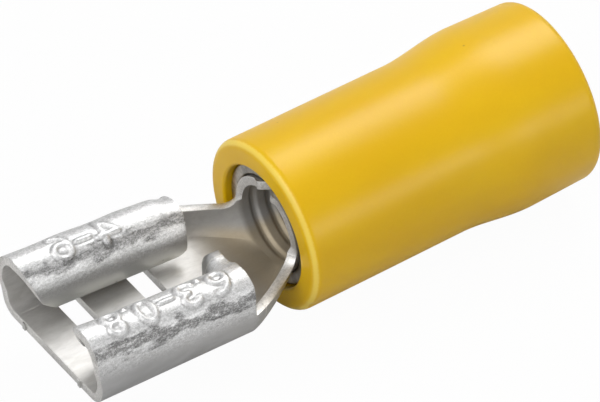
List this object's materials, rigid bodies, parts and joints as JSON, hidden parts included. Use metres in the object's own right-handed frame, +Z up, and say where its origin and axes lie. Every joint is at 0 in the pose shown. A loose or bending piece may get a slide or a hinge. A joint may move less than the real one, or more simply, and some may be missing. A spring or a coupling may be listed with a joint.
{
  "type": "insulated female spade terminal",
  "caption": "Crimp-on female spade receptacle for a flat tab, with a wire barrel, a metal grip sleeve and a flared yellow insulating sleeve.",
  "frame": {"origin": "on the axis of the wire barrel, at the barrel's wire end", "axes": "+X along the barrel from the receptacle to the wire, +Z up from the receptacle's floor towards its rolls, +Y across the receptacle"},
  "size_m": [0.026, 0.0086, 0.0086],
  "materials": {
    "tinned_brass": "tin plated, mottled grain with bright rolled bends",
    "tinned_copper": "dull tin plate with fine turning marks",
    "yellow_vinyl": "moulded vinyl, satin gloss"
  },
  "bodies": {
    "root": {"terminal": "tinned_brass", "grip_sleeve": "tinned_copper", "insulating_sleeve": "yellow_vinyl"}
  },
  "joints": []
}
